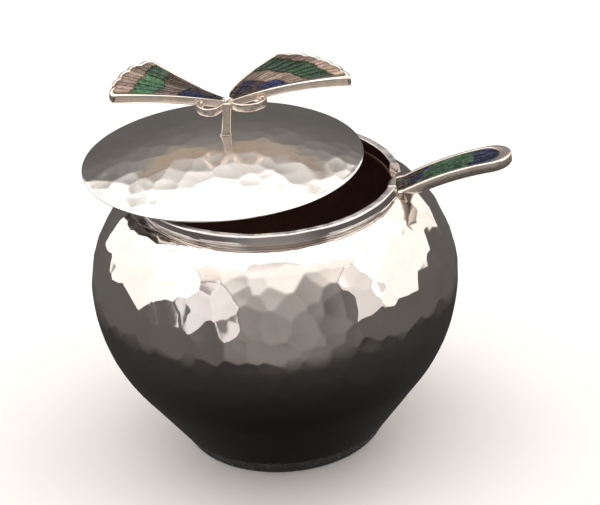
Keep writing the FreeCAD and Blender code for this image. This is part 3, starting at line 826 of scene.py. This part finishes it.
# ---------------------------------------------------------------- spoon
ARCH, SLOPE = 89.0, math.radians(27.6)
HANDLE_START, HANDLE_END, ROOT_HALF, HANDLE_HALF, HANDLE_THICK = 40.6, 72.3, 5.7, 6.3, 3.2
TRAY_START, END_BORDER = 37.3, 2.1
ARCH_X = HANDLE_START + ARCH * math.sin(SLOPE)
ARCH_Z = 82.9 - ARCH * math.cos(SLOPE)


def spoon_world(points):
    """From the spoon's own frame, handle along +X, to the bowl's frame."""
    c, s = math.cos(SPOON_AZIMUTH), math.sin(SPOON_AZIMUTH)
    x, y, z = points[..., 0], points[..., 1], points[..., 2]
    return np.stack([x * c - y * s, x * s + y * c, z], -1)


def on_handle(plan, depth):
    """A plan point at a depth below the top: arched, then level where it crosses the notch."""
    x = np.maximum(plan[..., 0], HANDLE_START)
    before = x - plan[..., 0]
    turn = np.arccos((x - ARCH_X) / ARCH)
    turn = math.pi / 2 + (turn - math.pi / 2) * np.exp(-before / 0.7)
    level = ARCH_Z + ARCH * np.sqrt(1 - ((x - ARCH_X) / ARCH) ** 2) - 0.25 * before
    return spoon_world(np.stack([plan[..., 0] - depth * np.cos(turn), plan[..., 1] + 0 * turn,
                                 level - depth * np.sin(turn)], -1))


def handle_loop(inset, count=30, end_border=0.0):
    """Plan outline of the handle, drawn in by an inset: two sides and a round end."""
    start = TRAY_START + inset * 0.6
    root, half = ROOT_HALF - inset, HANDLE_HALF - inset
    shoulder = HANDLE_END - HANDLE_HALF - end_border
    part = np.linspace(0, 1, count, endpoint=False)[:, None]
    low = np.array([start, -root]) + (np.array([shoulder, -half]) - [start, -root]) * part
    turn = np.radians(-90 + 180 * part[:, 0])
    end = np.stack([shoulder + half * np.cos(turn), half * np.sin(turn)], -1)
    high = np.array([shoulder, half]) + (np.array([start, root]) - [shoulder, half]) * part
    back = np.array([start, root]) + (np.array([0, -2 * root])) * part
    return np.vstack([low, end, high, back])


def tray_depth(plan):
    """Thickness of the tray: a thin lip over the notch, full depth outside the collar."""
    outside = np.clip(plan[..., 0] - HANDLE_START, 0, None)
    return 0.5 + (HANDLE_THICK - 0.5) * (1 - np.exp(-outside / 1.3))


def handle_half(x, inset, end_border=0.0):
    """Half-width of the handle's plan at x, drawn in by an inset."""
    shoulder = HANDLE_END - HANDLE_HALF - end_border
    side = np.interp(x, [TRAY_START, shoulder], [ROOT_HALF, HANDLE_HALF]) - inset
    round_end = np.sqrt(np.clip((HANDLE_HALF - inset) ** 2 - np.clip(x - shoulder, 0, 99) ** 2,
                                0.02, None))
    return np.where(x > shoulder, np.minimum(side, round_end), side)


def handle_lattice(inset, end_border, rows=44, columns=9):
    """Plan points that fill the handle's outline."""
    x = np.linspace(TRAY_START + inset * 0.6 + 0.01, HANDLE_END - end_border - inset - 0.01, rows)
    half = handle_half(x, inset, end_border)[:, None]
    return np.stack([np.repeat(x[:, None], columns, 1), half * np.linspace(-1, 1, columns)], -1)


def make_handle():
    """Arched tray with a rounded rim, a bed for the mosaic, and its underside."""
    border = 1.3
    levels = []
    for inset, share in ((0.9, 1.0), (0.35, 0.97), (0.0, 0.84)):
        plan = handle_loop(inset)
        levels.append(on_handle(plan, tray_depth(plan) * share))
    for inset, depth, end in ((0.0, 0.52, 0.0), (0.10, 0.20, 0.0), (0.32, 0.03, 0.1), (0.6, 0.0, 0.5),
                              (border - 0.1, 0.03, END_BORDER), (border, 0.1, END_BORDER),
                              (border, 0.34, END_BORDER)):
        levels.append(on_handle(handle_loop(inset, 30, end), depth))
    points = np.vstack(levels)
    size = len(levels[0])
    faces = grid(len(levels), size, True)
    bed_plan = handle_lattice(border, END_BORDER)
    bed = on_handle(bed_plan, 0.36).reshape(-1, 3)
    under_plan = handle_lattice(0.9, 0.0)
    under = on_handle(under_plan, tray_depth(under_plan)).reshape(-1, 3)
    bed_faces = grid(44, 9, False, len(points))
    under_faces = [face[::-1] for face in grid(44, 9, False, len(points) + len(bed))]
    slots = [0] * len(faces) + [1] * len(bed_faces) + [0] * len(under_faces)
    put("spoon_tray", np.vstack([points, bed, under]), faces + bed_faces + under_faces,
        [SILVER_TRIM, RESIN], "spoon", face_slots=slots,
        replaces=("spoon_handle",))
    lay_handle()


def lay_handle():
    """Mosaic along the handle: dark at the root, green in the middle, blue at the end."""
    chips = {"brown": Chips(), "malachite": Chips(), "lapis": Chips()}
    last = HANDLE_END - END_BORDER - 1.35
    joints = np.r_[TRAY_START + 0.85, np.linspace(40.4, 67.0, 15), last]
    for start, end in zip(joints, joints[1:]):
        middle = (start + end) / 2
        lanes = 4 if middle < 66 else 2
        cuts = np.linspace(-1, 1, lanes + 1)
        cuts[1:-1] += rng.uniform(-0.12, 0.12, lanes - 1)
        for low, high in zip(cuts, cuts[1:]):
            edge = middle + rng.uniform(-1.2, 1.2)
            kind = "brown" if edge < 46.3 else "malachite" if edge < 60.4 else "lapis"
            if kind == "brown" and edge > 43.5 and rng.random() < 0.5:
                kind = "lapis"
            x = np.linspace(start + 0.015, end - 0.015, 6)
            across = np.linspace(low + 0.004, high - 0.004, 5)
            half = handle_half(x, 1.34, END_BORDER)
            plan = np.stack([np.repeat(x[:, None], 5, 1), half[:, None] * across[None]], -1)
            top = on_handle(plan, 0.08 + rng.uniform(0, 0.02))
            scale = {"brown": 0.7, "malachite": 1.0, "lapis": 0.8}[kind]
            chips[kind].add(top, on_handle(plan, 0.38), tints(kind) * scale)
    for kind, paint, slot, node_name in (("brown", BROWN, "brown_inlay", "spoon_inlay_root"),
                                         ("malachite", MALACHITE, "malachite_inlay",
                                          "spoon_inlay_green"),
                                         ("lapis", LAPIS, "lapis_inlay", "spoon_inlay_blue")):
        chips[kind].make("spoon_" + kind, paint, "spoon", slot, (node_name,))


def make_shank():
    """Strip that narrows as it turns down through the notch, and runs onto the scoop's back."""
    shank_x, top_z, bend = 35.8, 81.9, 1.5
    flat = line((38.0, top_z), (shank_x + bend, top_z), 0.4)
    turn = arc((shank_x + bend, top_z - bend), bend, 90, 180, 0.2)
    down = line((shank_x, top_z - bend), (shank_x, 44.0), 1.5)
    tail = line((shank_x, 43.0), (shank_x + 0.05, 31.0), 1.0)
    path = joined(flat, turn, down, tail)
    width = np.interp(path[:, 1], [30, 36, 46, 60, 76, 81, 82.6], [1.2, 3.4, 4.0, 4.2, 5.6, 8.2, 9.6])
    thick = np.interp(path[:, 1], [30, 40, 80, 82], [0.35, 0.95, 0.95, 0.6])
    points = spoon_world(np.column_stack([path[:, 0], 0 * path[:, 0], path[:, 1]]))
    across = spoon_world(np.array([[0.0, 1.0, 0.0]]))[0]
    strip("spoon_neck", points, width, thick, across, SILVER_TRIM, "spoon",
          ("spoon_shank",), 0.4)


def make_scoop():
    """Shallow oval scoop hanging on edge, hollow side to the bowl's middle."""
    front, depth, wide_arc, long_arc, middle_z, wall = 31.7, 4.6, 14.3, 30.0, 30.0, 1.1
    axis_x = front + depth - long_arc
    rings, spokes = 14, 72

    def back(radius_share, turn, inset):
        """A point on the scoop's back or, drawn in, on its hollow side."""
        half_wide = math.sqrt(wide_arc ** 2 - (wide_arc - depth) ** 2)
        half_long = math.sqrt(long_arc ** 2 - (long_arc - depth) ** 2)
        y = radius_share * (half_wide - inset * 0.2) * math.cos(turn)
        z = radius_share * (half_long - inset * 0.2) * math.sin(turn)
        across = math.sqrt((wide_arc - inset) ** 2 - min(y * y, (wide_arc - inset) ** 2 - 1))
        reach = long_arc - wide_arc + across
        return [axis_x + math.sqrt(max(reach ** 2 - z * z, 1.0)), y, middle_z + z]

    points = [back(0, 0, 0)]
    for inset, shares in ((0.0, np.linspace(1 / rings, 1, rings)),
                          (wall, np.linspace(0.965, 1 / rings, rings))):
        for share in shares:
            for turn in np.linspace(0, 2 * np.pi, spokes, endpoint=False):
                points.append(back(share, turn, inset))
    points.append(back(0, 0, wall))
    faces = grid(2 * rings, spokes, True, 1)
    faces += [[0, 1 + (k + 1) % spokes, 1 + k] for k in range(spokes)]
    last = len(points) - 1
    ring_start = 1 + (2 * rings - 1) * spokes
    faces += [[last, ring_start + k, ring_start + (k + 1) % spokes] for k in range(spokes)]
    scoop = put("spoon_bowl", spoon_world(np.array(points)), faces, SILVER_LID, "spoon",
                replaces=("spoon_scoop",))
    soften(scoop, 45, 0.25)


make_bowl()
make_foot()
make_collar()
make_lid()
make_wings()
make_feelers()
make_post()
make_thorax()
make_handle()
make_shank()
make_scoop()


# ---------------------------------------------------------------- studio
def panel(name, centre, size, facing, colour):
    """A flat matt card that isn't part of the object and doesn't show in the silver."""
    mesh = bpy.data.meshes.new(name)
    half_w, half_h = size[0] / 2, size[1] / 2
    mesh.from_pydata([(-half_w, -half_h, 0), (half_w, -half_h, 0), (half_w, half_h, 0),
                      (-half_w, half_h, 0)], [], [(0, 1, 2, 3)])
    card = bpy.data.objects.new(name, mesh)
    bpy.context.scene.collection.objects.link(card)
    card.location = centre
    direction = Vector(facing) - Vector(centre)
    card.rotation_euler = direction.to_track_quat("Z", "Y").to_euler()
    made, nodes, links, surface = material(name)
    surface.inputs["Base Color"].default_value = (*colour, 1)
    surface.inputs["Roughness"].default_value = 0.9
    surface.inputs["Specular IOR Level"].default_value = 0.0
    mesh.materials.append(made)
    card.visible_glossy = False


def make_studio():
    """Pale floor and wall."""
    panel("floor", (0, 0, 0), (8, 8), (0, 0, 1), (0.86, 0.855, 0.85))
    panel("backdrop", (0, 3.5, 1.5), (9, 5), (0, 0, 1.2), (0.9, 0.895, 0.89))


# Soft light all round: brightness by elevation in degrees, dark from 28 below the horizon down
# and brightest overhead. GLOW_TOP is the brightness of the ramp's white. The front is brighter
# by GLOW_FRONT, which fades to 1 where the direction's Y reaches GLOW_FRONT_END.
GLOW = [(-90, 0.010), (-60, 0.018), (-44, 0.030), (-31, 0.042), (-25, 0.12), (10, 0.13),
        (22, 0.17), (34, 0.30), (40, 0.48), (46, 0.84), (56, 1.20), (70, 1.25), (90, 0.70)]
GLOW_TINT = np.array([1.0, 0.935, 0.885])
GLOW_TOP = 1.3
GLOW_FRONT = 2.4
GLOW_FRONT_END = -0.72


def make_world():
    world = bpy.data.worlds.new("studio")
    bpy.context.scene.world = world
    world.use_nodes = True
    nodes, links = world.node_tree.nodes, world.node_tree.links
    direction = node(nodes, "ShaderNodeTexCoord")
    parts = node(nodes, "ShaderNodeSeparateXYZ")
    links.new(direction.outputs["Generated"], parts.inputs["Vector"])
    place = spread(nodes, links, parts.outputs["Z"], 0.0, 1.0, -1.0, 1.0)
    stops = [((math.sin(math.radians(elevation)) + 1) / 2, (GLOW_TINT * level / GLOW_TOP).tolist())
             for elevation, level in GLOW]
    colour = ramp(nodes, links, place.outputs[0], stops)
    background = nodes["Background"]
    toward_front = spread(nodes, links, parts.outputs["Y"], GLOW_TOP * GLOW_FRONT, GLOW_TOP,
                          -1.0, GLOW_FRONT_END)
    links.new(toward_front.outputs[0], background.inputs["Strength"])
    links.new(colour.outputs["Color"], background.inputs["Color"])


def soft_box(name, azimuth, elevation, away, size, glow, tint):
    """Broad soft light facing the bowl; azimuth runs from the front, positive to the right."""
    turn, high = math.radians(azimuth), math.radians(elevation)
    data = bpy.data.lights.new(name, "AREA")
    data.shape = "RECTANGLE"
    data.size, data.size_y = size
    data.energy = glow * math.pi * size[0] * size[1]
    data.color = tint
    light = bpy.data.objects.new(name, data)
    bpy.context.scene.collection.objects.link(light)
    light.location = Vector((math.cos(high) * math.sin(turn), -math.cos(high) * math.cos(turn),
                             math.sin(high))) * away
    toward_bowl = Vector((0, 0, 0.05)) - light.location
    light.rotation_euler = toward_bowl.to_track_quat("-Z", "Y").to_euler()
    light.visible_camera = False


def make_lights():
    """Two broad boxes at the sides, two smaller ones in front, and one overhead."""
    soft_box("left_box", -106, 28, 1.5, (2.3, 1.5), 1.10, (1.0, 0.96, 0.92))
    soft_box("right_box", 106, 30, 1.5, (2.3, 1.5), 1.10, (1.0, 0.945, 0.89))
    soft_box("left_fill", -44, 20, 1.5, (0.9, 1.0), 0.75, (1.0, 0.97, 0.97))
    soft_box("right_fill", 58, 20, 1.5, (0.6, 1.1), 0.70, (1.0, 0.94, 0.90))
    soft_box("overhead", 180, 78, 1.6, (1.9, 1.3), 1.3, (1.0, 0.98, 0.96))


CAMERA_PLACE = Vector((0.0, -0.52489, 0.33342))
CAMERA_RIGHT = Vector((0.99726, -0.04570, -0.05809))
CAMERA_UP = Vector((0.07264, 0.46110, 0.88437))
CAMERA_LENS = 116.46


def make_camera():
    """From the front, looking down 28 degrees at the bowl, slightly rolled."""
    data = bpy.data.cameras.new("camera")
    data.sensor_width = 36.0
    data.lens = CAMERA_LENS
    data.clip_start = 0.01
    camera = bpy.data.objects.new("camera", data)
    bpy.context.scene.collection.objects.link(camera)
    back = CAMERA_RIGHT.cross(CAMERA_UP)
    turn = Matrix((CAMERA_RIGHT, CAMERA_UP, back)).transposed()
    camera.matrix_world = Matrix.Translation(CAMERA_PLACE) @ turn.to_4x4()
    bpy.context.scene.camera = camera


make_studio()
make_world()
make_lights()
make_camera()
bpy.context.scene.view_settings.view_transform = "Standard"
